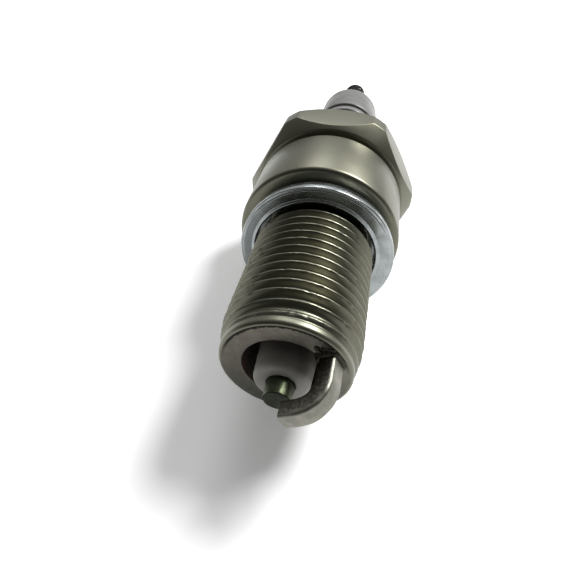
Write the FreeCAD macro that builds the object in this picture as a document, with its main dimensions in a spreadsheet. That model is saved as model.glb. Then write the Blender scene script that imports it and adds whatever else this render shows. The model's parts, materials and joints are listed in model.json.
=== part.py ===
import FreeCAD, Part
import os
import re
import Sketcher

# Spark plug, M14 x 1.25 with a flat gasket seat and a 20.8 mm hexagon. Its shank reaches 20 mm
# from the seat: a thread, with a short pilot at the firing end and a neck for the gasket.
# The plug lies on one flat of its hexagon. The origin is on the plug's axis in the gasket
# seat's plane. +Y runs along the axis from the firing end to the terminal, and +Z is up.
# Axial places are distances from the seat plane: negative is towards the firing end.

SIZES = [
    # threaded shank
    ("reach_length", 20.0),
    ("thread_diameter", 14.0),
    ("end_face_diameter", 12.1),
    ("lead_in_length", 1.6),
    ("relief_length", 2.9),
    ("relief_diameter", 12.4),
    ("thread_runout", 0.4),
    # boss, groove, hexagon and crimped collar
    ("boss_diameter", 19.7),
    ("boss_length", 8.8),
    ("boss_edge", 0.45),
    ("groove_width", 1.1),
    ("groove_diameter", 17.2),
    ("hex_across_flats", 20.8),
    ("hex_across_corners", 23.0),
    ("hex_height", 6.2),
    ("hex_face_diameter", 20.0),
    ("hex_edge_run", 2.0),
    ("collar_diameter", 16.9),
    ("collar_height", 2.5),
    ("collar_round", 1.2),
    ("lip_diameter", 11.3),
    ("lip_thickness", 0.9),
    # bores of the shell
    ("nose_bore_diameter", 8.2),
    ("ledge_bore_diameter", 7.6),
    ("ledge_front", 10.0),
    ("ledge_top", 7.9),
    ("ledge_slope", 0.6),
    ("lower_bore_diameter", 9.6),
    ("lower_bore_top", 2.4),
    ("bore_slope", 2.0),
    ("upper_bore_diameter", 14.1),
    # gasket, folded from sheet
    ("gasket_diameter", 18.6),
    ("gasket_height", 2.0),
    ("gasket_taper", 0.25),
    ("gasket_mouth_diameter", 14.5),
    ("gasket_hole_diameter", 13.2),
    ("gasket_sheet", 0.42),
    ("gasket_hem", 0.9),
    ("gasket_front_bend", 0.45),
    ("gasket_rear_bend", 0.8),
    ("gasket_inner_bend", 0.35),
    ("gasket_float", 0.9),
    # insulator
    ("nose_projection", 1.6),
    ("nose_tip_diameter", 5.3),
    ("nose_root_diameter", 6.6),
    ("nose_round", 0.7),
    ("step_diameter", 9.2),
    ("shoulder_diameter", 13.9),
    ("step_top", 2.9),
    ("shoulder_start", 5.3),
    ("shoulder_end", 11.0),
    ("shoulder_slope", 1.4),
    ("barrel_diameter", 10.5),
    ("ribs_start", 21.4),
    ("rib_count", 5),
    ("rib_pitch", 2.4),
    ("rib_groove_depth", 0.55),
    ("rib_groove_width", 1.1),
    ("rib_cutter_overhang", 1.0),
    ("boot_land_diameter", 10.0),
    ("boot_land_length", 6.8),
    ("boot_land_slope", 0.4),
    ("insulator_top", 40.2),
    ("insulator_top_round", 0.7),
    ("electrode_hole_diameter", 2.6),
    ("stem_hole_diameter", 4.1),
    ("stem_hole_floor", 3.0),
    ("stem_hole_slope", 0.7),
    # centre electrode, seals and suppressor
    ("electrode_projection", 3.3),
    ("electrode_head_diameter", 3.7),
    ("electrode_head_height", 1.8),
    ("electrode_head_slope", 0.56),
    ("core_diameter", 1.5),
    ("core_setback", 1.6),
    ("core_length", 18.5),
    ("seal_length", 3.4),
    ("suppressor_length", 9.0),
    # terminal stud
    ("stud_diameter", 4.0),
    ("stud_length", 11.8),
    ("stud_edge", 0.4),
    ("stud_collar_diameter", 6.0),
    ("stud_collar_height", 1.1),
    ("stem_diameter", 3.3),
    ("knurl_diameter", 3.9),
    ("knurl_length", 4.0),
    ("knurl_run", 0.4),
    # ground electrode
    ("strap_width", 1.9),
    ("strap_thickness", 1.7),
    ("strap_edge_round", 0.35),
    ("strap_leg_radius", 4.8),
    ("strap_gap", 0.6),
    ("strap_bend_radius", 2.4),
    ("strap_tip_radius", 1.1),
    ("strap_clock_angle", 61.0),
    # packing between the insulator and the shell
    ("washer_thickness", 0.35),
    ("washer_play", 0.1),
    ("ring_wire_diameter", 1.75),
    ("ring_clearance", 0.02),
    ("talc_length", 2.2),
]

document = FreeCAD.newDocument("spark_plug")
sheet = document.addObject("Spreadsheet::Sheet", "Sizes")
for row, (name, number) in enumerate(SIZES, start=1):
    sheet.set(f"A{row}", name)
    sheet.set(f"B{row}", str(number))
    sheet.setAlias(f"B{row}", name)
document.recompute()

ALONG_AXIS = FreeCAD.Vector(0, 1, 0)
TOUCH = 1e-4
LEAST_CUT = 1.0


def bound(text):
    """Turns a formula in the sheet's names into an expression of the document."""
    return re.sub(r"[a-z]\w+", lambda word: "Sizes." + word.group(0), text)


def worth(text):
    """The number that a formula in the sheet's names gives."""
    return float(sheet.evalExpression(bound(text)))


def bind(item, prop, text):
    item.setExpression(prop, bound(text))


def new_body(label):
    body = document.addObject("PartDesign::Body", label)
    body.Label = label
    return body


def new_sketch(body, name, role="XY_Plane"):
    plane = next(p for p in body.Origin.OriginFeatures if p.Role == role)
    sketch = body.newObject("Sketcher::SketchObject", name)
    sketch.AttachmentSupport = [(plane, "")]
    sketch.MapMode = "FlatFace"
    return sketch


def pin_point(sketch, line, end, across, along):
    """Holds one end of a line at two formulas, measured from the sketch's origin."""
    for kind, text in (("DistanceX", across), ("DistanceY", along)):
        if worth(text) >= 0:
            place = Sketcher.Constraint(kind, -1, 1, line, end, worth(text))
            number = sketch.addConstraint(place)
            bind(sketch, f"Constraints[{number}]", text)
        else:
            place = Sketcher.Constraint(kind, line, end, -1, 1, -worth(text))
            number = sketch.addConstraint(place)
            bind(sketch, f"Constraints[{number}]", f"-({text})")


def outline(sketch, corners, closed=True):
    """Draws straight lines through corners, each a pair of formulas in the sheet's names."""
    spots = [FreeCAD.Vector(worth(x), worth(y), 0) for x, y in corners]
    ends = spots[1:] + spots[:1] if closed else spots[1:]
    lines = [
        sketch.addGeometry(Part.LineSegment(start, end))
        for start, end in zip(spots, ends)
    ]
    for line, following in zip(lines, lines[1:]):
        sketch.addConstraint(Sketcher.Constraint("Coincident", line, 2, following, 1))
    if closed:
        sketch.addConstraint(Sketcher.Constraint("Coincident", lines[-1], 2, lines[0], 1))
    for line, (x, y) in zip(lines, corners):
        pin_point(sketch, line, 1, x, y)
    if not closed:
        pin_point(sketch, lines[-1], 2, *corners[-1])
    return lines


def turned_body(label, corners):
    """A body turned about the plug's axis. Its corners are pairs of radius and axial place."""
    body = new_body(label)
    sketch = new_sketch(body, label + "_outline")
    outline(sketch, corners)
    turning = body.newObject("PartDesign::Revolution", label + "_turning")
    turning.Profile = sketch
    turning.ReferenceAxis = (sketch, ["V_Axis"])
    turning.Angle = 360
    document.recompute()
    return body


def circles_at(shape, radius, along):
    """Names of the circular edges of one radius that lie in one plane across the axis."""
    found = []
    for number, edge in enumerate(shape.Edges, start=1):
        if not isinstance(edge.Curve, Part.Circle):
            continue
        near = abs(edge.Curve.Radius - radius) < TOUCH
        if near and abs(edge.Curve.Center.y - along) < TOUCH:
            found.append(f"Edge{number}")
    return found


def round_edges(body, name, edges, radius):
    """Adds a fillet on the named edges of the body's last feature."""
    if not edges:
        raise RuntimeError(f"{name} finds no edge to round")
    last_feature = body.Tip
    fillet = body.newObject("PartDesign::Fillet", name)
    fillet.Base = (last_feature, edges)
    bind(fillet, "Radius", radius)
    document.recompute()


def round_circle(body, name, across, along, radius):
    edges = circles_at(body.Shape, worth(across), worth(along))
    round_edges(body, name, edges, radius)


def ring_wire(label, along):
    """A ring of round wire in the gap between the insulator's barrel and the shell."""
    ring = document.addObject("Part::Torus", label)
    ring.Label = label
    bind(ring, "Radius1", "(upper_bore_diameter - ring_wire_diameter) / 2 - ring_clearance")
    bind(ring, "Radius2", "ring_wire_diameter / 2")
    lay_along_axis(ring, along)
    return ring


def lay_along_axis(item, along):
    """Turns a primitive's own Z axis to the plug's axis, with its base at one place."""
    turn = FreeCAD.Rotation(FreeCAD.Vector(1, 0, 0), -90)
    item.Placement = FreeCAD.Placement(FreeCAD.Vector(0, worth(along), 0), turn)
    bind(item, "Placement.Base.y", along)


def slug(label, across, start, length):
    """A plain cylinder in the insulator's bore."""
    piece = document.addObject("Part::Cylinder", label)
    piece.Label = label
    bind(piece, "Radius", f"({across}) / 2")
    bind(piece, "Height", length)
    lay_along_axis(piece, start)
    return piece


# axial places that several pieces share
HEX_FRONT = "boss_length + groove_width"
HEX_REAR = f"{HEX_FRONT} + hex_height"
COLLAR_TOP = f"{HEX_REAR} + collar_height"
LOWER_RING = "shoulder_end + shoulder_slope + ring_wire_diameter / 4"
TALC_START = f"{LOWER_RING} + ring_wire_diameter / 2"
TALC_END = f"{TALC_START} + talc_length"
UPPER_RING = f"{TALC_END} + ring_wire_diameter / 2"
LIP_UNDERSIDE = f"{COLLAR_TOP} - lip_thickness"
HEAD_TOP = "-stem_hole_floor + stem_hole_slope + electrode_head_height"
SUPPRESSOR_START = f"{HEAD_TOP} + seal_length"
SUPPRESSOR_END = f"{SUPPRESSOR_START} + suppressor_length"
STEM_START = f"{SUPPRESSOR_END} + seal_length"


def on_ledge(across, lift):
    """Axial place on the shell's conical ledge at one diameter, raised by a lift."""
    slope = "ledge_slope / (lower_bore_diameter - ledge_bore_diameter)"
    return f"-ledge_top + ({across} - ledge_bore_diameter) * {slope} + {lift}"


def make_metal_shell():
    """Steel shell: shank, boss, neck groove, hexagon and the collar rolled over the packing."""
    body = turned_body("metal_shell", [
        ("nose_bore_diameter/2", "-reach_length"),
        ("end_face_diameter/2", "-reach_length"),
        ("thread_diameter/2", "-reach_length + lead_in_length"),
        ("thread_diameter/2", "-relief_length"),
        ("relief_diameter/2", "-relief_length + thread_runout"),
        ("relief_diameter/2", "0"),
        ("boss_diameter/2 - boss_edge", "0"),
        ("boss_diameter/2", "boss_edge"),
        ("boss_diameter/2", "boss_length - boss_edge/2"),
        ("boss_diameter/2 - boss_edge/2", "boss_length"),
        ("groove_diameter/2", "boss_length"),
        ("groove_diameter/2", HEX_FRONT),
        ("hex_face_diameter/2", HEX_FRONT),
        ("hex_across_corners/2", f"{HEX_FRONT} + hex_edge_run"),
        ("hex_across_corners/2", f"{HEX_REAR} - hex_edge_run"),
        ("hex_face_diameter/2", HEX_REAR),
        ("collar_diameter/2", HEX_REAR),
        ("collar_diameter/2", COLLAR_TOP),
        ("lip_diameter/2", COLLAR_TOP),
        ("lip_diameter/2", LIP_UNDERSIDE),
        ("upper_bore_diameter/2", LIP_UNDERSIDE),
        ("upper_bore_diameter/2", "lower_bore_top + bore_slope"),
        ("lower_bore_diameter/2", "lower_bore_top"),
        ("lower_bore_diameter/2", "-ledge_top + ledge_slope"),
        ("ledge_bore_diameter/2", "-ledge_top"),
        ("ledge_bore_diameter/2", "-ledge_front"),
        ("nose_bore_diameter/2", "-ledge_front - ledge_slope"),
    ])
    flats = new_sketch(body, "metal_shell_flats", "XZ_Plane")
    flats.AttachmentOffset = FreeCAD.Placement(
        FreeCAD.Vector(0, 0, -worth(HEX_FRONT)), FreeCAD.Rotation()
    )
    bind(flats, "AttachmentOffset.Base.z", f"-({HEX_FRONT})")
    document.recompute()
    blank = flats.addGeometry(Part.Circle(
        FreeCAD.Vector(0, 0, 0), FreeCAD.Vector(0, 0, 1), worth("hex_across_corners")
    ))
    flats.addConstraint(Sketcher.Constraint("Coincident", blank, 3, -1, 1))
    wide = flats.addConstraint(Sketcher.Constraint("Radius", blank, worth("hex_across_corners")))
    bind(flats, f"Constraints[{wide}]", "hex_across_corners")
    half_side = "hex_across_flats / 12 ^ 0.5"
    outline(flats, [
        (half_side, "hex_across_flats / 2"),
        (f"-{half_side}", "hex_across_flats / 2"),
        (f"-2 * {half_side}", "0"),
        (f"-{half_side}", "-hex_across_flats / 2"),
        (half_side, "-hex_across_flats / 2"),
        (f"2 * {half_side}", "0"),
    ])
    blank_volume = body.Shape.Volume
    milled = body.newObject("PartDesign::Pocket", "metal_shell_hexagon")
    milled.Profile = flats
    bind(milled, "Length", "hex_height")
    milled.Reversed = False
    document.recompute()
    if body.Shape.Volume > blank_volume - LEAST_CUT:
        raise RuntimeError("the hexagon's flats are not cut")
    round_circle(body, "metal_shell_collar_round", "collar_diameter/2", COLLAR_TOP, "collar_round")
    return body


def make_crush_gasket():
    """Captive washer folded from sheet: its hole is smaller than the thread in front of it."""
    rear = "-gasket_float"
    front = f"{rear} - gasket_height"
    rim = "gasket_diameter/2"
    rear_rim = f"{rim} - gasket_taper"
    hem_end = f"{rear} - gasket_hem"
    body = turned_body("crush_gasket", [
        ("gasket_hole_diameter/2", rear),
        (rear_rim, rear),
        (rim, front),
        ("gasket_mouth_diameter/2", front),
        ("gasket_mouth_diameter/2", hem_end),
        ("gasket_mouth_diameter/2 + gasket_sheet", hem_end),
        ("gasket_mouth_diameter/2 + gasket_sheet", f"{front} + gasket_sheet"),
        (f"{rim} - gasket_sheet", f"{front} + gasket_sheet"),
        (f"{rear_rim} - gasket_sheet", f"{rear} - gasket_sheet"),
        ("gasket_hole_diameter/2", f"{rear} - gasket_sheet"),
    ])
    for name, across, along, radius in (
        ("front_bend", rim, front, "gasket_front_bend"),
        ("rear_bend", rear_rim, rear, "gasket_rear_bend"),
        ("mouth_bend", "gasket_mouth_diameter/2", front, "gasket_front_bend"),
        ("front_inside", f"{rim} - gasket_sheet", f"{front} + gasket_sheet", "gasket_inner_bend"),
        ("rear_inside", f"{rear_rim} - gasket_sheet", f"{rear} - gasket_sheet",
         "gasket_inner_bend"),
    ):
        round_circle(body, "crush_gasket_" + name, across, along, radius)
    return body


def make_insulator():
    """Alumina body: nose, seating step, shoulder, ribbed barrel and the bores inside it."""
    nose_tip = "-reach_length - nose_projection"
    body = turned_body("insulator", [
        ("electrode_hole_diameter/2", nose_tip),
        ("nose_tip_diameter/2", nose_tip),
        ("nose_root_diameter/2", on_ledge("nose_root_diameter", "washer_thickness")),
        ("step_diameter/2", on_ledge("step_diameter", "washer_thickness")),
        ("step_diameter/2", "step_top"),
        ("shoulder_diameter/2", "shoulder_start"),
        ("shoulder_diameter/2", "shoulder_end"),
        ("barrel_diameter/2", "shoulder_end + shoulder_slope"),
        ("barrel_diameter/2", "insulator_top - boot_land_length - boot_land_slope"),
        ("boot_land_diameter/2", "insulator_top - boot_land_length"),
        ("boot_land_diameter/2", "insulator_top"),
        ("stem_hole_diameter/2", "insulator_top"),
        ("stem_hole_diameter/2", "-stem_hole_floor + stem_hole_slope"),
        ("electrode_hole_diameter/2", "-stem_hole_floor"),
    ])
    round_circle(body, "insulator_nose_round", "nose_tip_diameter/2", nose_tip, "nose_round")
    round_circle(
        body, "insulator_top_edge", "boot_land_diameter/2", "insulator_top", "insulator_top_round"
    )
    ribs = new_sketch(body, "insulator_rib_groove")
    outline(ribs, [
        ("barrel_diameter/2 + rib_cutter_overhang", "ribs_start"),
        ("barrel_diameter/2 - rib_groove_depth", "ribs_start"),
        ("barrel_diameter/2 - rib_groove_depth", "ribs_start + rib_groove_width"),
        ("barrel_diameter/2 + rib_cutter_overhang", "ribs_start + rib_groove_width"),
    ])
    groove = body.newObject("PartDesign::Groove", "insulator_first_groove")
    groove.Profile = ribs
    groove.ReferenceAxis = (ribs, ["V_Axis"])
    groove.Angle = 360
    document.recompute()
    pattern = body.newObject("PartDesign::LinearPattern", "insulator_grooves")
    pattern.Originals = [groove]
    pattern.Direction = (ribs, ["V_Axis"])
    bind(pattern, "Length", "rib_pitch * (rib_count - 1)")
    bind(pattern, "Occurrences", "rib_count")
    body.Tip = pattern
    document.recompute()
    return body


def make_centre_electrode():
    """Nickel alloy sheath, closed at the firing end, with a hole for its copper core."""
    firing_end = "-reach_length - electrode_projection"
    return turned_body("centre_electrode", [
        ("0", firing_end),
        ("electrode_hole_diameter/2", firing_end),
        ("electrode_hole_diameter/2", "-stem_hole_floor"),
        ("electrode_head_diameter/2", "-stem_hole_floor + electrode_head_slope"),
        ("electrode_head_diameter/2", HEAD_TOP),
        ("0", HEAD_TOP),
        ("0", f"{firing_end} + core_setback + core_length"),
        ("core_diameter/2", f"{firing_end} + core_setback + core_length"),
        ("core_diameter/2", f"{firing_end} + core_setback"),
        ("0", f"{firing_end} + core_setback"),
    ])


def make_copper_core():
    """Copper that carries heat away from the firing tip, closed inside the sheath."""
    start = "-reach_length - electrode_projection + core_setback"
    return slug("copper_core", "core_diameter", start, "core_length")


def make_terminal_stud():
    """Steel stud: knurled stem in the bore, collar on the insulator, free end for the M4 thread."""
    stud_top = "insulator_top + stud_length"
    return turned_body("terminal_stud", [
        ("0", STEM_START),
        ("knurl_diameter/2", STEM_START),
        ("knurl_diameter/2", f"{STEM_START} + knurl_length"),
        ("stem_diameter/2", f"{STEM_START} + knurl_length + knurl_run"),
        ("stem_diameter/2", "insulator_top"),
        ("stud_collar_diameter/2", "insulator_top"),
        ("stud_collar_diameter/2", "insulator_top + stud_collar_height"),
        ("stud_diameter/2", "insulator_top + stud_collar_height"),
        ("stud_diameter/2", f"{stud_top} - stud_edge"),
        ("stud_diameter/2 - stud_edge", stud_top),
        ("0", stud_top),
    ])


def make_ground_electrode():
    """Nickel alloy strap, welded on the shell's end face and bent over the centre electrode."""
    body = new_body("ground_electrode")
    leg = "strap_leg_radius"
    bridge = "-reach_length - electrode_projection - strap_gap - strap_thickness / 2"
    route = new_sketch(body, "ground_electrode_route", "YZ_Plane")
    straight_leg, straight_bridge = outline(route, [
        ("-reach_length", leg), (bridge, leg), (bridge, "strap_tip_radius"),
    ], closed=False)
    corner = FreeCAD.Vector(worth(bridge), worth(leg), 0)
    route.fillet(
        straight_leg,
        straight_bridge,
        corner + FreeCAD.Vector(1, 0, 0),
        corner + FreeCAD.Vector(0, -1, 0),
        worth("strap_bend_radius"),
        True,
        True,
    )
    section = new_sketch(body, "ground_electrode_section", "XZ_Plane")
    section.AttachmentOffset = FreeCAD.Placement(
        FreeCAD.Vector(0, 0, worth("reach_length")), FreeCAD.Rotation()
    )
    bind(section, "AttachmentOffset.Base.z", "reach_length")
    outline(section, [
        ("-strap_width/2", f"{leg} - strap_thickness/2"),
        ("strap_width/2", f"{leg} - strap_thickness/2"),
        ("strap_width/2", f"{leg} + strap_thickness/2"),
        ("-strap_width/2", f"{leg} + strap_thickness/2"),
    ])
    document.recompute()
    strap = body.newObject("PartDesign::AdditivePipe", "ground_electrode_strap")
    strap.Profile = section
    strap.Spine = (route, [f"Edge{n}" for n in range(1, len(route.Shape.Edges) + 1)])
    document.recompute()
    half_wide = worth("strap_width") / 2
    long_edges = [
        f"Edge{number}"
        for number, edge in enumerate(body.Shape.Edges, start=1)
        if all(abs(abs(v.Point.x) - half_wide) < TOUCH for v in edge.Vertexes)
        and edge.Vertexes[0].Point.x * edge.Vertexes[-1].Point.x > 0
        and edge.Length > worth("strap_thickness") + TOUCH
    ]
    round_edges(body, "ground_electrode_edges", long_edges, "strap_edge_round")
    bind(body, "Placement.Rotation.Angle", "strap_clock_angle")
    body.Placement = FreeCAD.Placement(
        FreeCAD.Vector(0, 0, 0), FreeCAD.Rotation(ALONG_AXIS, worth("strap_clock_angle"))
    )
    document.recompute()
    return body


def make_seat_washer():
    """Soft steel washer between the shell's ledge and the insulator's step."""
    inside = "ledge_bore_diameter + washer_play"
    outside = "lower_bore_diameter - washer_play"
    return turned_body("seat_washer", [
        (f"({inside})/2", on_ledge(f"({inside})", "0")),
        (f"({outside})/2", on_ledge(f"({outside})", "0")),
        (f"({outside})/2", on_ledge(f"({outside})", "washer_thickness")),
        (f"({inside})/2", on_ledge(f"({inside})", "washer_thickness")),
    ])


def make_talc_fill():
    """Pressed talc that seals the gap between the two wire rings."""
    return turned_body("talc_fill", [
        ("barrel_diameter/2", TALC_START),
        ("upper_bore_diameter/2", TALC_START),
        ("upper_bore_diameter/2", TALC_END),
        ("barrel_diameter/2", TALC_END),
    ])


pieces = [
    make_metal_shell(),
    make_crush_gasket(),
    make_insulator(),
    make_centre_electrode(),
    make_copper_core(),
    slug("lower_glass_seal", "stem_hole_diameter", HEAD_TOP, "seal_length"),
    slug("suppressor", "stem_hole_diameter", SUPPRESSOR_START, "suppressor_length"),
    slug("upper_glass_seal", "stem_hole_diameter", SUPPRESSOR_END, "seal_length"),
    make_terminal_stud(),
    make_ground_electrode(),
    make_seat_washer(),
    ring_wire("lower_packing_ring", LOWER_RING),
    make_talc_fill(),
    ring_wire("upper_packing_ring", UPPER_RING),
]
document.recompute()

for item in document.Objects:
    if "Invalid" in item.State or "Error" in item.State:
        raise RuntimeError(f"{item.Label} did not recompute: {item.State}")
for piece in pieces:
    if piece.Shape.isNull() or not piece.Shape.isValid() or len(piece.Shape.Solids) != 1:
        raise RuntimeError(f"{piece.Label} has no valid solid")

os.makedirs("parts", exist_ok=True)
for piece in pieces:
    piece.Shape.exportStep(f"parts/{piece.Label}.step")
    print(f"{piece.Label}: {piece.Shape.Volume:.2f} mm3")
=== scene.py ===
import json
import math

import bmesh
import bpy
from bpy.props import FloatProperty, FloatVectorProperty, IntProperty, PointerProperty
from bpy.types import Operator, Panel, PropertyGroup
from mathutils import Matrix, Vector, noise


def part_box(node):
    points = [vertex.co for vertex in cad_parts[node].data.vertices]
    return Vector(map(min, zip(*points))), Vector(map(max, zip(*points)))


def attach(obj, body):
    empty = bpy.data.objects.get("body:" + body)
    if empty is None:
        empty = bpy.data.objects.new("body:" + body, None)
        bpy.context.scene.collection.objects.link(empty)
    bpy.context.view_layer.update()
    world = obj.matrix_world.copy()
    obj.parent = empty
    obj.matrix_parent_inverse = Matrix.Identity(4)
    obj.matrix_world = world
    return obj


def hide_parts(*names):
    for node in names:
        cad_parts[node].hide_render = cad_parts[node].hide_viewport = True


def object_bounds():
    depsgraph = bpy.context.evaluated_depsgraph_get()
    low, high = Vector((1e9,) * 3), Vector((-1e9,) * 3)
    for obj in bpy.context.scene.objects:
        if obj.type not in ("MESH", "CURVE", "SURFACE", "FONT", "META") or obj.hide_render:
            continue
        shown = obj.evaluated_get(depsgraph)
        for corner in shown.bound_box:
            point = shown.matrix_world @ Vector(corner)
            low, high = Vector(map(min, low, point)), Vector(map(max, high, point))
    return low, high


bl_info = {
    "name": "Spark plug",
    "version": (1, 0, 0),
    "blender": (4, 5, 0),
    "location": "3D View > Sidebar > Spark plug",
    "description": "Builds the visible pieces and finishes of a spark plug around its solids",
    "category": "Add Mesh",
}

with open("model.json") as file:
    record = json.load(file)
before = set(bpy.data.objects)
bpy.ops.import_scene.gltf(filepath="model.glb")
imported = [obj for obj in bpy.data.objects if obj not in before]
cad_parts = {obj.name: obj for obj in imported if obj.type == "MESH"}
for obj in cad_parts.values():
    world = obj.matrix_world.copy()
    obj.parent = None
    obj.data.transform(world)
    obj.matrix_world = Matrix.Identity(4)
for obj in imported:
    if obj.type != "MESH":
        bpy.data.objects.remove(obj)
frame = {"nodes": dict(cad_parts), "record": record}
CAD_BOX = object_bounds()

MM = 0.001
TURN = 2 * math.pi
TIGHT = 1e-6

MOUNTS = {mount["name"]: mount for mount in frame["record"]["mounts"]}
SHELL_LOW, SHELL_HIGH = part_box("metal_shell")
GASKET_LOW, GASKET_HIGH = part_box("crush_gasket")
INSULATOR_LOW, INSULATOR_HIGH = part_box("insulator")
STUD_LOW, STUD_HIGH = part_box("terminal_stud")
ELECTRODE_LOW, ELECTRODE_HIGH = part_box("centre_electrode")
STRAP_LOW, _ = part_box("ground_electrode")

THREAD_RADIUS = MOUNTS["cylinder_head_thread"]["dims"]["r_mm"] * MM
STUD_RADIUS = MOUNTS["terminal_thread"]["dims"]["r_mm"] * MM
LAND_RADIUS = MOUNTS["boot_land"]["dims"]["r_mm"] * MM
END_FACE = SHELL_LOW.y
COLLAR_TOP = SHELL_HIGH.y
HALF_FLAT = -SHELL_LOW.z
CORNER_RADIUS = SHELL_HIGH.x

# The shell's inside, out of sight: radii, then places along the axis
CAVITY_RADIUS, BORE_RADIUS, LEDGE_RADIUS = 7.05 * MM, 4.8 * MM, 3.8 * MM
CAVITY_FLOOR, BORE_TOP, BORE_FLOOR = 4.4 * MM, 2.4 * MM, -7.3 * MM
LEDGE_REAR, LEDGE_FRONT, NOSE_BORE_REAR = -7.9 * MM, -10.0 * MM, -10.6 * MM

# The insulator along the axis, and the holes through it
NOSE_ROOT, STEP_REAR, SHOULDER_CONE = -7.85 * MM, -7.1 * MM, 2.9 * MM
SHOULDER_FRONT, SHOULDER_REAR, BARREL_FRONT = 5.3 * MM, 11.0 * MM, 12.4 * MM
FIRST_GROOVE, GROOVE_WIDTH, GROOVE_SLOPE = 21.4 * MM, 1.1 * MM, 0.12 * MM
WIRE_RADIUS, WIRE_HOLE_REAR = 1.3 * MM, -3.0 * MM
STUD_HOLE_RADIUS, STUD_HOLE_FRONT = 2.05 * MM, -2.3 * MM

# The stud's collar, neck and plain stem
COLLAR_RADIUS, COLLAR_HEIGHT = 3.0 * MM, 1.1 * MM
NECK_RADIUS, STEM_RADIUS, STEM_LENGTH = 1.65 * MM, 1.95 * MM, 4.0 * MM


def length(name, description, millimetres):
    return FloatProperty(
        name=name, description=description, default=millimetres * MM,
        unit="LENGTH", precision=5, min=0.0,
    )


def colour(name, description, value):
    return FloatVectorProperty(
        name=name, description=description, default=value,
        subtype="COLOR", size=3, min=0.0, max=1.0,
    )


class ShellSizes(PropertyGroup):
    columns: IntProperty(
        name="Columns", description="Steps round the axis, a multiple of six", default=240, min=60
    )
    thread_pitch: length("Thread pitch", "Distance from crest to crest", 1.25)
    thread_depth: length("Thread depth", "From the crests down to the roots", 0.78)
    pilot_length: length("Pilot length", "Unthreaded start of the shank", 0.7)
    pilot_radius: length("Pilot radius", "Radius of the shank before its thread", 6.38)
    end_face_radius: length("End face radius", "Outer edge of the shell's end face", 6.05)
    nose_bore_radius: length("Nose bore radius", "Bore round the insulator's nose", 4.1)
    relief_length: length("Relief length", "Plain neck behind the thread", 2.9)
    relief_radius: length("Relief radius", "Radius of that neck", 6.2)
    boss_radius: length("Boss radius", "Plain round body behind the gasket", 9.85)
    boss_length: length("Boss length", "From the gasket seat to the groove", 8.8)
    groove_width: length("Groove width", "Neck between the boss and the hexagon", 1.1)
    groove_radius: length("Groove radius", "Radius at the bottom of that neck", 8.6)
    hex_height: length("Hexagon height", "Along the axis", 6.2)
    hex_face_radius: length("Hexagon face radius", "Where the corner chamfers start", 10.0)
    hex_edge_run: length("Corner chamfer run", "Axial length of the chamfer at a corner", 2.0)
    collar_radius: length("Collar radius", "Rolled collar over the packing", 8.45)
    collar_round: length("Collar rounding", "Radius of the rolled edge", 1.25)
    lip_radius: length("Lip radius", "Hole in the rolled collar", 5.65)
    lip_thickness: length("Lip thickness", "Metal over the upper ring", 0.9)


class InsulatorSizes(PropertyGroup):
    nose_radius: length("Nose radius", "At the firing tip", 2.65)
    nose_root_radius: length("Nose root radius", "Where the nose meets the step", 3.3)
    step_radius: length("Step radius", "Body above the seating step", 4.6)
    shoulder_radius: length("Shoulder radius", "Widest part, inside the shell", 6.95)
    barrel_radius: length("Barrel radius", "Outside the shell, over the ribs", 5.25)
    rib_depth: length("Rib depth", "Depth of the grooves between ribs", 0.55)
    rib_pitch: length("Rib pitch", "From groove to groove", 2.4)
    rib_count: IntProperty(name="Grooves", description="Grooves cut in the barrel", default=5)
    land_length: length("Boot land length", "Plain end that a cap grips", 6.8)


class StrapSizes(PropertyGroup):
    width: length("Width", "Across the strap", 1.9)
    thickness: length("Thickness", "Of the strap", 1.7)
    edge: length("Edge rounding", "Of the strap's long edges", 0.32)
    leg_radius: length("Leg radius", "From the axis to the middle of the leg", 4.8)
    bend_radius: length("Bend radius", "At the middle of the strap", 2.4)
    tip_radius: length("Tip place", "From the axis to the strap's cut end", 1.1)
    clock_angle: FloatProperty(
        name="Clock angle", description="From straight up, turned towards +X",
        default=math.radians(61.0), subtype="ANGLE",
    )


class FinishColours(PropertyGroup):
    nickel: colour("Nickel", "Satin plate of the boss and hexagon", (0.152, 0.152, 0.118))
    nickel_shade: colour("Nickel, stained", "Patches in the plate", (0.145, 0.142, 0.108))
    flank: colour("Thread flank", "Plate in the thread", (0.155, 0.142, 0.070))
    # Painted shade: the near-black laid in the thread's roots, where the grooves lie in shade
    root: colour("Thread root", "Painted shade at the bottom of the thread", (0.016, 0.013, 0.006))
    # Partly painted highlight: the crests are worn bare, and this bright colour also paints the light
    # they catch
    crest: colour("Thread crest", "Bare worn crests with a painted highlight", (0.74, 0.70, 0.54))
    end_face: colour("End face", "Burnt face round the bore", (0.135, 0.12, 0.105))
    # Painted shade: the darker, cooler tone laid over the lower part of the end face
    end_face_painted_shade: colour("End face, cool", "Painted shade over the lower part of that face", (0.07, 0.078, 0.06))
    soot: colour("Soot", "Deposit in the bore and at the weld", (0.012, 0.011, 0.008))
    rust: colour("Rust", "Brown spots", (0.06, 0.028, 0.016))
    zinc: colour("Zinc", "Plate of the gasket", (0.335, 0.36, 0.36))
    alumina: colour("Bare alumina", "Unglazed nose", (0.25, 0.24, 0.215))
    # Painted shade: this grey stands in for white glaze seen in shade
    glaze: colour("Glaze", "Barrel glaze, grey as painted shade, with grime", (0.125, 0.125, 0.118))
    electrode: colour("Electrode", "Used nickel alloy", (0.07, 0.082, 0.05))
    strap: colour("Strap", "Drawn nickel alloy", (0.23, 0.225, 0.19))
    # Painted shade on the strap's inner and rear-facing sides; the weld also takes this tone as its
    # own dark scale
    strap_painted_shade_and_weld_tone: colour("Strap painted shade, weld scale", "Dark inner side of the strap", (0.045, 0.04, 0.03))
    stud: colour("Stud", "Plated steel terminal", (0.22, 0.22, 0.21))


# ---------------------------------------------------------------- node helpers

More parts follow.
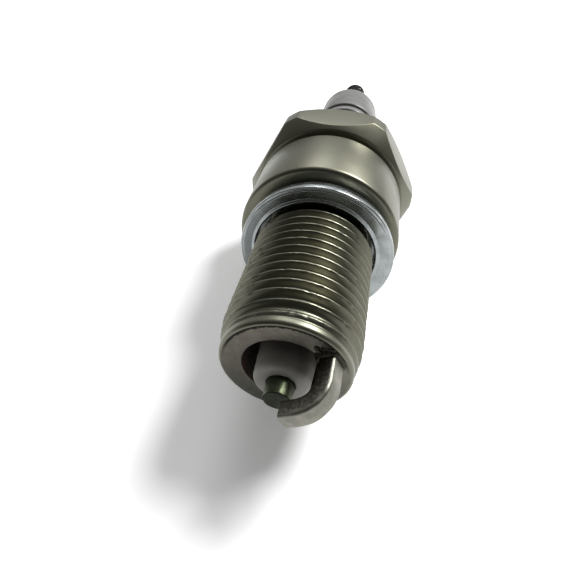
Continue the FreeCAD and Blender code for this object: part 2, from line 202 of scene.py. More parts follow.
def put(tree, kind, **settings):
    """Adds a node and sets its properties."""
    made = tree.nodes.new(kind)
    for key, value in settings.items():
        setattr(made, key, value)
    return made


def feed(tree, socket, value):
    """Links a socket to another one, or gives it a plain value."""
    if isinstance(value, bpy.types.NodeSocket):
        tree.links.new(value, socket)
    else:
        socket.default_value = value


def calc(tree, operation, *values, clamp=False):
    made = put(tree, "ShaderNodeMath", operation=operation, use_clamp=clamp)
    for socket, value in zip(made.inputs, values):
        feed(tree, socket, value)
    return made.outputs[0]


def add(tree, first, second):
    return calc(tree, "ADD", first, second)


def less(tree, first, second):
    return calc(tree, "SUBTRACT", first, second)


def times(tree, first, second):
    return calc(tree, "MULTIPLY", first, second)


def ramp(tree, value, low, high, smooth=True):
    """0 at low, 1 at high, and eased between them. low may be the larger."""
    made = put(tree, "ShaderNodeMapRange")
    made.interpolation_type = "SMOOTHSTEP" if smooth else "LINEAR"
    for index, number in enumerate((value, low, high, 0.0, 1.0)):
        feed(tree, made.inputs[index], number)
    return made.outputs[0]


def vector(tree, x, y, z):
    made = put(tree, "ShaderNodeCombineXYZ")
    for socket, value in zip(made.inputs, (x, y, z)):
        feed(tree, socket, value)
    return made.outputs[0]


def mix_number(tree, share, first, second):
    made = put(tree, "ShaderNodeMix", data_type="FLOAT")
    for index, value in ((0, share), (2, first), (3, second)):
        feed(tree, made.inputs[index], value)
    return made.outputs[0]


def mix_colour(tree, share, first, second):
    made = put(tree, "ShaderNodeMix", data_type="RGBA")
    for index, value in ((0, share), (6, first), (7, second)):
        if not isinstance(value, (bpy.types.NodeSocket, float, int)):
            value = (*value, 1.0)
        feed(tree, made.inputs[index], value)
    return made.outputs[2]


def noise_value(tree, place, scale, detail=3.0, roughness=0.5):
    made = put(tree, "ShaderNodeTexNoise")
    feed(tree, made.inputs["Vector"], place)
    feed(tree, made.inputs["Scale"], scale)
    feed(tree, made.inputs["Detail"], detail)
    feed(tree, made.inputs["Roughness"], roughness)
    return made.outputs[0]


def new_group(name, kind, inputs, outputs):
    """A node tree with named sockets; returns it with its input and output nodes."""
    tree = bpy.data.node_groups.new(name, kind)
    for label, socket_type, default in inputs:
        socket = tree.interface.new_socket(label, in_out="INPUT", socket_type=socket_type)
        if default is not None:
            socket.default_value = default
    for label, socket_type in outputs:
        tree.interface.new_socket(label, in_out="OUTPUT", socket_type=socket_type)
    start = put(tree, "NodeGroupInput")
    finish = put(tree, "NodeGroupOutput")
    return tree, start, finish


# ------------------------------------------------------------ shader groups

def place_group():
    """Place on a turned piece: radius and distance along the axis, in millimetres."""
    tree, _, finish = new_group("Place on the axis", "ShaderNodeTree", (), (
        ("Radius", "NodeSocketFloat"), ("Along", "NodeSocketFloat"), ("Place", "NodeSocketVector"),
    ))
    where = put(tree, "ShaderNodeTexCoord").outputs["Object"]
    scaled = put(tree, "ShaderNodeVectorMath", operation="SCALE")
    feed(tree, scaled.inputs[0], where)
    scaled.inputs["Scale"].default_value = 1 / MM
    apart = put(tree, "ShaderNodeSeparateXYZ")
    feed(tree, apart.inputs[0], scaled.outputs[0])
    x, y, z = apart.outputs
    radius = calc(tree, "SQRT", add(tree, times(tree, x, x), times(tree, z, z)))
    feed(tree, finish.inputs["Radius"], radius)
    feed(tree, finish.inputs["Along"], y)
    feed(tree, finish.inputs["Place"], scaled.outputs[0])
    return tree


def turning_group(place):
    """Fine rings left by turning and plating; they vary along the axis and with radius."""
    tree, start, finish = new_group("Turning marks", "ShaderNodeTree", (
        ("Rings per mm", "NodeSocketFloat", 6.0),
    ), (("Height", "NodeSocketFloat"),))
    spot = put(tree, "ShaderNodeGroup", node_tree=place)
    lines = start.outputs["Rings per mm"]
    ring = vector(
        tree,
        times(tree, spot.outputs["Along"], lines),
        times(tree, spot.outputs["Radius"], lines),
        0.0,
    )
    fine = noise_value(tree, ring, 1.0, detail=2.0)
    broad = noise_value(tree, spot.outputs["Place"], 1.4, detail=4.0)
    feed(tree, finish.inputs["Height"], times(tree, fine, broad))
    return tree


def speck_group(place):
    """Small scattered spots of one size; amount is the share of the surface they cover."""
    tree, start, finish = new_group("Specks", "ShaderNodeTree", (
        ("Size mm", "NodeSocketFloat", 0.2), ("Amount", "NodeSocketFloat", 0.1),
    ), (("Mask", "NodeSocketFloat"),))
    spot = put(tree, "ShaderNodeGroup", node_tree=place)
    scale = calc(tree, "DIVIDE", 1.0, start.outputs["Size mm"])
    ragged = noise_value(tree, spot.outputs["Place"], scale, detail=3.0, roughness=0.65)
    patchy = noise_value(tree, spot.outputs["Place"], 0.45, detail=1.0)
    level = add(tree, ragged, times(tree, less(tree, patchy, 0.5), 0.35))
    edge = less(tree, 0.76, times(tree, start.outputs["Amount"], 0.5))
    feed(tree, finish.inputs["Mask"], ramp(tree, level, edge, add(tree, edge, 0.06)))
    return tree


def patch_group(place):
    """Broad soft patches for stains and handling."""
    tree, start, finish = new_group("Patches", "ShaderNodeTree", (
        ("Size mm", "NodeSocketFloat", 3.0),
    ), (("Mask", "NodeSocketFloat"),))
    spot = put(tree, "ShaderNodeGroup", node_tree=place)
    scale = calc(tree, "DIVIDE", 1.0, start.outputs["Size mm"])
    cloudy = noise_value(tree, spot.outputs["Place"], scale, detail=5.0, roughness=0.55)
    feed(tree, finish.inputs["Mask"], ramp(tree, cloudy, 0.35, 0.7))
    return tree


class Kit:
    """The shader groups, built once and shared by the materials."""

    groups = {}

    @classmethod
    def use(cls, tree, name, values=()):
        if not cls.groups:
            place = place_group()
            cls.groups = {
                "place": place,
                "turning": turning_group(place),
                "specks": speck_group(place),
                "patches": patch_group(place),
            }
        made = put(tree, "ShaderNodeGroup", node_tree=cls.groups[name])
        for label, value in dict(values).items():
            made.inputs[label].default_value = value
        return made


def new_material(name, metallic, roughness):
    """A material with a Principled shader; returns the material, its tree and the shader."""
    material = bpy.data.materials.new(name)
    material.use_nodes = True
    tree = material.node_tree
    shader = tree.nodes["Principled BSDF"]
    shader.inputs["Metallic"].default_value = metallic
    shader.inputs["Roughness"].default_value = roughness
    return material, tree, shader


def paint(tree, shader, tone, rough=None):
    """Gives a finish the colour, and the roughness, that vary over its surface."""
    feed(tree, shader.inputs["Base Color"], tone)
    if rough is not None:
        feed(tree, shader.inputs["Roughness"], rough)


def bump(tree, shader, height, strength, distance=0.05 * MM):
    made = put(tree, "ShaderNodeBump")
    made.inputs["Strength"].default_value = strength
    made.inputs["Distance"].default_value = distance
    feed(tree, made.inputs["Height"], height)
    feed(tree, shader.inputs["Normal"], made.outputs["Normal"])


def specks(tree, size, amount):
    return Kit.use(tree, "specks", {"Size mm": size, "Amount": amount}).outputs["Mask"]


def patches(tree, size):
    return Kit.use(tree, "patches", {"Size mm": size}).outputs["Mask"]


def rings(tree, per_mm):
    return Kit.use(tree, "turning", {"Rings per mm": per_mm}).outputs["Height"]


def noise_at(tree, scale, detail=3.0, roughness=0.5):
    """Noise fixed to the piece, with a scale in features per millimetre."""
    place = Kit.use(tree, "place").outputs["Place"]
    return noise_value(tree, place, scale, detail, roughness)


def mottled(tree, tone, size, darker):
    """A tone that falls to a darker share of itself in patches."""
    return mix_colour(tree, patches(tree, size), tone, tuple(darker * part for part in tone))


def spotted(tree, base, tone, size, amount, strength):
    """Lays small spots of another tone over a base."""
    return mix_colour(tree, times(tree, specks(tree, size, amount), strength), base, tone)


def grained(tree, shader, scale, detail, strength, depth):
    """Gives a material a fine surface grain."""
    bump(tree, shader, noise_at(tree, scale, detail), strength, depth)


def satin_nickel(tones):
    """Plated steel of the boss, hexagon and collar: satin, faintly ringed, softly stained."""
    material, tree, shader = new_material("satin_nickel", 1.0, 0.36)
    stain = patches(tree, 4.5)
    base = mix_colour(tree, stain, tones.nickel, tones.nickel_shade)
    spots = specks(tree, 0.12, 0.05)
    base = mix_colour(tree, times(tree, spots, 0.5), base, tones.rust)
    rough = add(tree, 0.36, times(tree, patches(tree, 1.6), 0.03))
    paint(tree, shader, base, add(tree, rough, times(tree, spots, 0.3)))
    bump(tree, shader, rings(tree, 9.0), 0.10, 0.02 * MM)
    return material


def worn_thread(tones, crest_radius, depth):
    """Rolled thread: bare torn crests that are also brightened as a painted highlight, plated flanks,
    and painted shade that darkens the roots. Sizes in mm.
    """
    material, tree, shader = new_material("worn_thread", 1.0, 0.36)
    uneven = less(tree, noise_at(tree, 2.5), 0.5)
    radius = add(tree, Kit.use(tree, "place").outputs["Radius"], times(tree, uneven, 0.10))
    worn = ramp(tree, radius, crest_radius - 0.13, crest_radius - 0.02)
    # Painted shade: the colour falls to near black towards the thread's roots
    root_shade = ramp(tree, radius, crest_radius - depth * 0.3, crest_radius - depth)
    base = mix_colour(tree, times(tree, patches(tree, 2.0), 0.3), tones.flank, tones.nickel)
    base = mix_colour(tree, times(tree, root_shade, 0.8), base, tones.root)
    torn = ramp(tree, noise_at(tree, 4.0, detail=4.0, roughness=0.7), 0.36, 0.58)
    # Worn bare crests, painted brighter as a highlight: the crest colour covers the band next to the
    # crest radius
    scraped = times(tree, worn, add(tree, 0.35, times(tree, torn, 0.65)))
    base = mix_colour(tree, scraped, base, tones.crest)
    rough = add(tree, 0.34, times(tree, root_shade, 0.14))
    paint(tree, shader, base, less(tree, rough, times(tree, worn, 0.10)))
    bump(tree, shader, noise_at(tree, 7.0, detail=5.0, roughness=0.65), 0.45, 0.04 * MM)
    return material


def burnt_face(tones):
    """Steel round the bore, browned by firing, with pits, a flaked edge at the top, and painted shade
    darkening its lower part.
    """
    material, tree, shader = new_material("burnt_end_face", 0.75, 0.5)
    spot = Kit.use(tree, "place")
    uneven = less(tree, noise_at(tree, 3.0), 0.5)
    rim = ramp(tree, add(tree, spot.outputs["Radius"], times(tree, uneven, 0.5)), 5.72, 5.86)
    pits = specks(tree, 0.16, 0.22)
    apart = put(tree, "ShaderNodeSeparateXYZ")
    feed(tree, apart.inputs[0], spot.outputs["Place"])
    height = apart.outputs[2]
    flaked = times(tree, rim, ramp(tree, height, 0.5, 3.5))
    dark = calc(tree, "MAXIMUM", times(tree, flaked, 0.9), pits)
    # Painted shade: the face darkens towards its bottom, a painted reflection of the shadowed table
    # there
    painted_low_shade = times(tree, ramp(tree, height, 1.5, -4.0), 0.8)
    base = mix_colour(tree, patches(tree, 1.1), tones.end_face, tones.nickel)
    base = mix_colour(tree, painted_low_shade, base, tones.end_face_painted_shade)
    base = mix_colour(tree, times(tree, patches(tree, 0.6), 0.25), base, tones.rust)
    base = mix_colour(tree, dark, base, tones.soot)
    paint(tree, shader, base, add(tree, 0.42, times(tree, dark, 0.35)))
    bump(tree, shader, less(tree, noise_at(tree, 7.0, detail=5.0), pits), 0.5, 0.05 * MM)
    return material


def sooty_bore(tones):
    """Inside of the shell: soot with rust showing through."""
    material, tree, shader = new_material("sooty_bore", 0.2, 0.85)
    base = mix_colour(tree, patches(tree, 1.0), tones.soot, tones.rust)
    paint(tree, shader, base)
    grained(tree, shader, scale=5.0, detail=5.0, strength=0.6, depth=0.08 * MM)
    return material


def bright_zinc(tones):
    """Zinc plate on the gasket's sheet: slightly blue, with fine handling marks."""
    material, tree, shader = new_material("bright_zinc", 1.0, 0.24)
    cloud = patches(tree, 1.6)
    base = mottled(tree, tones.zinc, 1.6, 0.80)
    base = spotted(tree, base, tones.nickel_shade, 0.14, 0.06, 0.6)
    paint(tree, shader, base, add(tree, 0.20, times(tree, cloud, 0.13)))
    grained(tree, shader, scale=2.5, detail=3.0, strength=0.07, depth=0.04 * MM)
    return material


def bare_alumina(tones):
    """Unglazed nose: matt off-white with small brown deposits."""
    material, tree, shader = new_material("bare_alumina", 0.0, 0.55)
    base = mottled(tree, tones.alumina, 1.5, 0.86)
    paint(tree, shader, spotted(tree, base, tones.rust, 0.20, 0.10, 0.85))
    grained(tree, shader, scale=12.0, detail=3.0, strength=0.15, depth=0.02 * MM)
    shader.inputs["Subsurface Weight"].default_value = 0.08
    shader.inputs["Subsurface Radius"].default_value = (0.4 * MM, 0.4 * MM, 0.4 * MM)
    return material


def glaze_grime_and_painted_shade(tones):
    """Glazed barrel whose grey base is a painted shade on white glaze, with a film of road grime in
    patches and specks.
    """
    material, tree, shader = new_material("glaze_grime_and_painted_shade", 0.0, 0.3)
    film = patches(tree, 4.0)
    # Painted shade: the barrel's grey base; the darker patches and specks over it are grime
    base = mottled(tree, tones.glaze, 4.0, 0.72)
    rough = add(tree, 0.42, times(tree, film, 0.25))
    paint(tree, shader, spotted(tree, base, tones.soot, 0.18, 0.08, 0.5), rough)
    shader.inputs["Coat Weight"].default_value = 0.15
    shader.inputs["Coat Roughness"].default_value = 0.2
    grained(tree, shader, scale=1.2, detail=2.0, strength=0.06, depth=0.05 * MM)
    return material


def used_alloy(name, base_tone, dark_tone, metallic, grain, rough):
    """Nickel alloy that has fired: mottled tone, coarse grain and dark deposits."""
    material, tree, shader = new_material(name, metallic, rough)
    base = mottled(tree, base_tone, 0.9, 0.66)
    uneven = times(tree, patches(tree, 0.35), 0.22)
    rough = add(tree, rough - 0.08, uneven)
    paint(tree, shader, spotted(tree, base, dark_tone, 0.13, 0.16, 0.7), rough)
    grained(tree, shader, scale=7.0, detail=5.0, strength=grain, depth=0.05 * MM)
    return material


def strap_alloy(tones, outward):
    """Strap metal: faces turned away from the outside and the firing end are darkened as a painted
    shade; elsewhere it keeps its own mottled tone.
    """
    material, tree, shader = new_material("strap_alloy", 1.0, 0.38)
    # Painted shade: faces that turn away from the outward side and the firing end get the dark strap
    # colour
    away = put(tree, "ShaderNodeVectorMath", operation="DOT_PRODUCT")
    feed(tree, away.inputs[0], put(tree, "ShaderNodeTexCoord").outputs["Normal"])
    away.inputs[1].default_value = outward + Vector((0, -1, 0))
    uneven = less(tree, noise_at(tree, 3.0, detail=4.0), 0.5)
    turned = add(tree, away.outputs["Value"], times(tree, uneven, 0.7))
    painted_side_shade = times(tree, ramp(tree, turned, 0.30, -0.10), 0.85)
    base = mottled(tree, tones.strap, 0.9, 0.75)
    rough = add(tree, 0.34, times(tree, uneven, 0.3))
    paint(tree, shader, mix_colour(tree, painted_side_shade, base, tones.strap_painted_shade_and_weld_tone), rough)
    bump(tree, shader, noise_at(tree, 9.0, detail=5.0, roughness=0.65), 0.7, 0.05 * MM)
    return material


def plain_inner(name, tone, metallic, roughness, grain):
    """A piece that stays inside: its own tone with a fine grain."""
    material, tree, shader = new_material(name, metallic, roughness)
    paint(tree, shader, mottled(tree, tone, 0.8, 0.7))
    grained(tree, shader, scale=6.0, detail=4.0, strength=grain, depth=0.05 * MM)
    return material


# ------------------------------------------------------------- mesh helpers

ARC_STEPS = 4


def softened(corners):
    """Turns corners (radius, along, rounding) into points, with an arc at each rounded one."""
    points = []
    last = len(corners) - 1
    for index, (x, y, rounding) in enumerate(corners):
        here = Vector((x, y))
        if rounding <= 0 or index in (0, last):
            points.append(here)
            continue
        back = (Vector(corners[index - 1][:2]) - here)
        ahead = (Vector(corners[index + 1][:2]) - here)
        reach_limit = 0.45 * min(back.length, ahead.length)
        back.normalize()
        ahead.normalize()
        half = math.acos(max(-1.0, min(1.0, back.dot(ahead)))) / 2
        reach = min(rounding / math.tan(half), reach_limit)
        radius = reach * math.tan(half)
        middle = here + (back + ahead).normalized() * radius / math.sin(half)
        first = here + back * reach - middle
        second = here + ahead * reach - middle
        sweep = first.angle_signed(second)
        for step in range(ARC_STEPS + 1):
            turned = first.copy()
            turned.rotate(Matrix.Rotation(-sweep * step / ARC_STEPS, 2))
            points.append(middle + turned)
    return points


def around(angle, radius, along):
    """A point at an angle from straight up, turned towards +X."""
    return Vector((radius * math.sin(angle), along, radius * math.cos(angle)))


def lathe(bm, outline_at, columns, closed=False):
    """Adds a turned surface; outline_at(angle) gives the points of one column."""
    grid = []
    for column in range(columns):
        angle = TURN * column / columns
        grid.append([bm.verts.new(around(angle, p[0], p[1])) for p in outline_at(angle)])
    rows = len(grid[0])
    faces = []
    for column, line in enumerate(grid):
        following = grid[(column + 1) % columns]
        for row in range(rows if closed else rows - 1):
            up = (row + 1) % rows
            faces.append(bm.faces.new((line[row], line[up], following[up], following[row])))
    return faces


def tidy_mesh(bm):
    """Merges the seams and poles of a closed surface and points its faces outwards."""
    bmesh.ops.remove_doubles(bm, verts=bm.verts, dist=TIGHT)
    bmesh.ops.dissolve_degenerate(bm, edges=bm.edges, dist=TIGHT / 10)
    bmesh.ops.recalc_face_normals(bm, faces=bm.faces)


def new_piece(name, bm, materials, sharp=40):
    """Turns a bmesh into an object at the origin, smooth but for its sharp edges."""
    mesh = bpy.data.meshes.new(name)
    bm.to_mesh(mesh)
    bm.free()
    for material in materials:
        mesh.materials.append(material)
    mesh.shade_smooth()
    mesh.set_sharp_from_angle(angle=math.radians(sharp))
    piece = bpy.data.objects.new(name, mesh)
    bpy.context.scene.collection.objects.link(piece)
    return piece


def ruffle(bm, size, depth, keep=None):
    """Moves each vertex a little along its normal, by smooth noise of one grain size."""
    bm.normal_update()
    moves = []
    for vert in bm.verts:
        amount = noise.fractal(vert.co / size, 1.0, 2.0, 3)
        share = 1.0 if keep is None else keep(vert.co)
        moves.append((vert, vert.normal * amount * depth * share))
    for vert, move in moves:
        vert.co += move


def made_by_nodes(name, tree, values):
    """Runs a geometry tree with the given inputs and returns its result as a mesh."""
    holder = bpy.data.objects.new(name + "_source", bpy.data.meshes.new(name + "_source"))
    bpy.context.scene.collection.objects.link(holder)
    modifier = holder.modifiers.new(name, "NODES")
    modifier.node_group = tree
    for item in tree.interface.items_tree:
        if item.item_type == "SOCKET" and item.in_out == "INPUT" and item.name in values:
            modifier[item.identifier] = values[item.name]
    holder.update_tag()
    graph = bpy.context.evaluated_depsgraph_get()
    graph.update()
    mesh = bpy.data.meshes.new_from_object(holder.evaluated_get(graph))
    holder.modifiers.remove(modifier)
    bpy.data.objects.remove(holder)
    if not mesh.vertices:
        raise RuntimeError(f"{name} came out empty")
    return mesh


# How a thread's height falls from its crest, at 0, to its root, at 1
THREAD_PROFILE = ((0.10, 0.985), (0.20, 0.84), (0.72, 0.09))


def close_tree(tree, finish, geometry, material):
    """Ends a tree with real geometry that has its material."""
    real = put(tree, "GeometryNodeRealizeInstances")
    feed(tree, real.inputs["Geometry"], geometry)
    dressed = put(tree, "GeometryNodeSetMaterial")
    feed(tree, dressed.inputs["Geometry"], real.outputs["Geometry"])
    feed(tree, dressed.inputs["Material"], material)
    feed(tree, finish.inputs["Geometry"], dressed.outputs["Geometry"])
    return tree


def screw_thread_tree():
    """Skin of a screw thread round the Y axis, open at both ends.

    A grid is wrapped round the axis so that its rows follow the helix. Rows past an end are
    held at that end and merged there, so both ends are plain rings.
    """
    numbers = (
        "Radius", "Depth", "Pitch", "Start", "End", "Start radius", "Start pilot radius",
        "Start pilot length", "End radius", "End pilot radius", "End pilot length",
        "Crest phase", "Nick depth", "Start taper", "Start taper length", "Start burr",
    )
    tree, start, finish = new_group("Screw thread", "GeometryNodeTree", (
        ("Geometry", "NodeSocketGeometry", None),
        *((label, "NodeSocketFloat", 0.0) for label in numbers),
        ("Columns", "NodeSocketInt", 240),
        ("Rows per turn", "NodeSocketInt", 18),
        ("Material", "NodeSocketMaterial", None),
    ), (("Geometry", "NodeSocketGeometry"),))
    get = start.outputs

    length_all = less(tree, get["End"], get["Start"])
    turns = add(tree, calc(tree, "CEIL", calc(tree, "DIVIDE", length_all, get["Pitch"])), 1.0)
    grid = put(tree, "GeometryNodeMeshGrid")
    grid.inputs["Size X"].default_value = 1.0
    grid.inputs["Size Y"].default_value = 1.0
    feed(tree, grid.inputs["Vertices X"], add(tree, get["Columns"], 1.0))
    rows = times(tree, turns, get["Rows per turn"])
    feed(tree, grid.inputs["Vertices Y"], add(tree, rows, 1.0))

    flat = put(tree, "ShaderNodeSeparateXYZ")
    feed(tree, flat.inputs[0], put(tree, "GeometryNodeInputPosition").outputs[0])
    turned = add(tree, flat.outputs[0], 0.5)
    climbed = times(tree, add(tree, flat.outputs[1], 0.5), turns)
    steps = add(tree, less(tree, climbed, 1.0), turned)
    free = add(tree, get["Start"], times(tree, steps, get["Pitch"]))
    along = calc(tree, "MINIMUM", calc(tree, "MAXIMUM", free, get["Start"]), get["End"])

    from_start = less(tree, along, get["Start"])
    phase = less(tree, calc(tree, "DIVIDE", from_start, get["Pitch"]), turned)
    phase = calc(tree, "FRACT", add(tree, phase, get["Crest phase"]))
    off_crest = times(tree, calc(tree, "ABSOLUTE", less(tree, phase, 0.5)), 2.0)
    shape = put(tree, "ShaderNodeFloatCurve")
    curve = shape.mapping.curves[0]
    for spot, height in THREAD_PROFILE:
        curve.points.new(spot, height)
    curve.points[0].location = (0.0, 1.0)
    curve.points[-1].location = (1.0, 0.0)
    shape.mapping.update()
    feed(tree, shape.inputs["Value"], off_crest)
    height = shape.outputs[0]
    to_full = calc(tree, "DIVIDE", from_start, get["Start taper length"], clamp=True)
    short = calc(tree, "POWER", less(tree, 1.0, to_full), 3.0)
    lowered = times(tree, times(tree, short, get["Start taper"]), height)
    sunk = times(tree, less(tree, 1.0, height), get["Depth"])
    threaded = less(tree, get["Radius"], add(tree, sunk, lowered))

    angle = times(tree, turned, TURN)
    sine = calc(tree, "SINE", angle)
    cosine = calc(tree, "COSINE", angle)
    around_place = vector(tree, sine, calc(tree, "DIVIDE", along, get["Radius"]), cosine)
    chips = noise_value(tree, around_place, 9.0, detail=3.0, roughness=0.6)
    chipped = times(tree, ramp(tree, chips, 0.52, 0.72), get["Nick depth"])
    first_turns = calc(tree, "DIVIDE", from_start, times(tree, get["Pitch"], 2.2))
    early = ramp(tree, first_turns, 1.15, 0.75)
    torn = noise_value(tree, around_place, 26.0, detail=4.0, roughness=0.7)
    burr = times(tree, times(tree, torn, early), get["Start burr"])
    chipped = add(tree, chipped, burr)
    chipped = times(tree, chipped, ramp(tree, height, 0.6, 1.0))
    threaded = less(tree, threaded, chipped)

    radius = threaded
    to_end = less(tree, get["End"], along)
    for end, distance in (("Start", from_start), ("End", to_end)):
        run = get[f"{end} pilot length"]
        share = calc(tree, "DIVIDE", distance, times(tree, run, 0.6), clamp=True)
        left = less(tree, 1.0, share)
        bulge = calc(tree, "SQRT", less(tree, 1.0, times(tree, left, left)))
        pilot = mix_number(tree, bulge, get[f"{end} radius"], get[f"{end} pilot radius"])
        begun = ramp(tree, distance, run, times(tree, run, 1.45))
        radius = mix_number(tree, begun, pilot, radius)

    moved = put(tree, "GeometryNodeSetPosition")
    feed(tree, moved.inputs["Geometry"], grid.outputs["Mesh"])
    across = times(tree, radius, sine)
    upward = times(tree, radius, cosine)
    feed(tree, moved.inputs["Position"], vector(tree, across, along, upward))
    welded = put(tree, "GeometryNodeMergeByDistance")
    feed(tree, welded.inputs["Geometry"], moved.outputs["Geometry"])
    welded.inputs["Distance"].default_value = TIGHT
    return close_tree(tree, finish, welded.outputs["Geometry"], get["Material"])


def spatter_tree():
    """Small beads of metal scattered in a flat box, for the weld at the strap's foot."""
    tree, start, finish = new_group("Weld spatter", "GeometryNodeTree", (
        ("Geometry", "NodeSocketGeometry", None),
        ("Count", "NodeSocketInt", 20),
        ("Seed", "NodeSocketInt", 3),
        ("Bead", "NodeSocketFloat", 0.1 * MM),
        ("Low", "NodeSocketVector", None),
        ("High", "NodeSocketVector", None),
        ("Material", "NodeSocketMaterial", None),
    ), (("Geometry", "NodeSocketGeometry"),))
    get = start.outputs
    where = put(tree, "FunctionNodeRandomValue", data_type="FLOAT_VECTOR")
    feed(tree, where.inputs[0], get["Low"])
    feed(tree, where.inputs[1], get["High"])
    feed(tree, where.inputs["Seed"], get["Seed"])
    dots = put(tree, "GeometryNodePoints")
    feed(tree, dots.inputs["Count"], get["Count"])
    feed(tree, dots.inputs["Position"], where.outputs[0])
    bead = put(tree, "GeometryNodeMeshIcoSphere")
    feed(tree, bead.inputs["Radius"], get["Bead"])
    bead.inputs["Subdivisions"].default_value = 3
    size = put(tree, "FunctionNodeRandomValue", data_type="FLOAT_VECTOR")
    size.inputs[0].default_value = (0.45, 0.35, 0.45)
    size.inputs[1].default_value = (1.3, 0.9, 1.3)
    feed(tree, size.inputs["Seed"], add(tree, get["Seed"], 1.0))
    placed = put(tree, "GeometryNodeInstanceOnPoints")
    feed(tree, placed.inputs["Points"], dots.outputs[0])
    feed(tree, placed.inputs["Instance"], bead.outputs["Mesh"])
    feed(tree, placed.inputs["Scale"], size.outputs[0])
    return close_tree(tree, finish, placed.outputs[0], get["Material"])


def shared_tree(name, builder):
    return bpy.data.node_groups.get(name) or builder()


# -------------------------------------------------------------------- pieces

def hexagon_radius(angle):
    """Distance from the axis to the hexagon at an angle from straight up."""
    sixth = TURN / 6
    off = (angle + sixth / 2) % sixth - sixth / 2
    return min(HALF_FLAT / math.cos(off), CORNER_RADIUS)


def shell_outline(sizes, angle):
    """The shell's outline from the neck behind the thread, over the hexagon and down the bore."""
    hex_front = sizes.boss_length + sizes.groove_width
    hex_rear = hex_front + sizes.hex_height
    face = sizes.hex_face_radius
    side = hexagon_radius(angle)
    run = (side - face) * sizes.hex_edge_run / (CORNER_RADIUS - face)
    underside = COLLAR_TOP - sizes.lip_thickness
    return softened([
        (sizes.relief_radius, -sizes.relief_length, 0),
        (sizes.relief_radius, 0, 0.15 * MM),
        (sizes.boss_radius, 0, 0.5 * MM),
        (sizes.boss_radius, sizes.boss_length, 0.35 * MM),
        (sizes.groove_radius, sizes.boss_length, 0.25 * MM),
        (sizes.groove_radius, hex_front, 0.25 * MM),
        (face, hex_front, 0.25 * MM),
        (side, hex_front + run, 0.2 * MM),
        (side, hex_rear - run, 0.2 * MM),
        (face, hex_rear, 0.25 * MM),
        (sizes.collar_radius, hex_rear, 0.25 * MM),
        (sizes.collar_radius, COLLAR_TOP, sizes.collar_round),
        (sizes.lip_radius, COLLAR_TOP, 0.3 * MM),
        (sizes.lip_radius, underside, 0),
        (CAVITY_RADIUS, underside, 0),
        (CAVITY_RADIUS, CAVITY_FLOOR, 0),
        (BORE_RADIUS, BORE_TOP, 0),
        (BORE_RADIUS, BORE_FLOOR, 0),
        (LEDGE_RADIUS, LEDGE_REAR, 0),
        (LEDGE_RADIUS, LEDGE_FRONT, 0),
        (sizes.nose_bore_radius, NOSE_BORE_REAR, 0),
        (sizes.nose_bore_radius, END_FACE, 0.14 * MM),
        (0.5 * (sizes.nose_bore_radius + sizes.end_face_radius), END_FACE, 0),
        (sizes.end_face_radius, END_FACE, 0),
    ])


def build_shell(sizes, tones):
    nickel, face, bore = satin_nickel(tones), burnt_face(tones), sooty_bore(tones)
    thread = worn_thread(tones, THREAD_RADIUS / MM, sizes.thread_depth / MM)
    skin = made_by_nodes("shank_thread", shared_tree("Screw thread", screw_thread_tree), {
        "Radius": THREAD_RADIUS,
        "Depth": sizes.thread_depth,
        "Pitch": sizes.thread_pitch,
        "Start": END_FACE,
        "End": -sizes.relief_length,
        "Start radius": sizes.end_face_radius,
        "Start pilot radius": sizes.pilot_radius,
        "Start pilot length": sizes.pilot_length,
        "End radius": sizes.relief_radius,
        "End pilot radius": sizes.relief_radius,
        "End pilot length": 0.4 * MM,
        "Crest phase": 0.55,
        "Nick depth": 0.07 * MM,
        "Start taper": 0.85 * MM,
        "Start taper length": 5 * MM,
        "Start burr": 0.16 * MM,
        "Columns": sizes.columns,
        "Rows per turn": 18,
        "Material": thread,
    })
    bm = bmesh.new()
    bm.from_mesh(skin)
    for made in lathe(bm, lambda angle: shell_outline(sizes, angle), sizes.columns):
        middle = made.calc_center_median()
        radius = math.hypot(middle.x, middle.z)
        inside = radius < sizes.nose_bore_radius + 0.02 * MM and middle.y < 0
        made.material_index = 1
        if inside:
            made.material_index = 3
        elif middle.y < END_FACE + 0.1 * MM:
            made.material_index = 2
    tidy_mesh(bm)
    piece = new_piece("metal_shell_body", bm, (thread, nickel, face, bore))
    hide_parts("metal_shell")
    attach(piece, "plug")


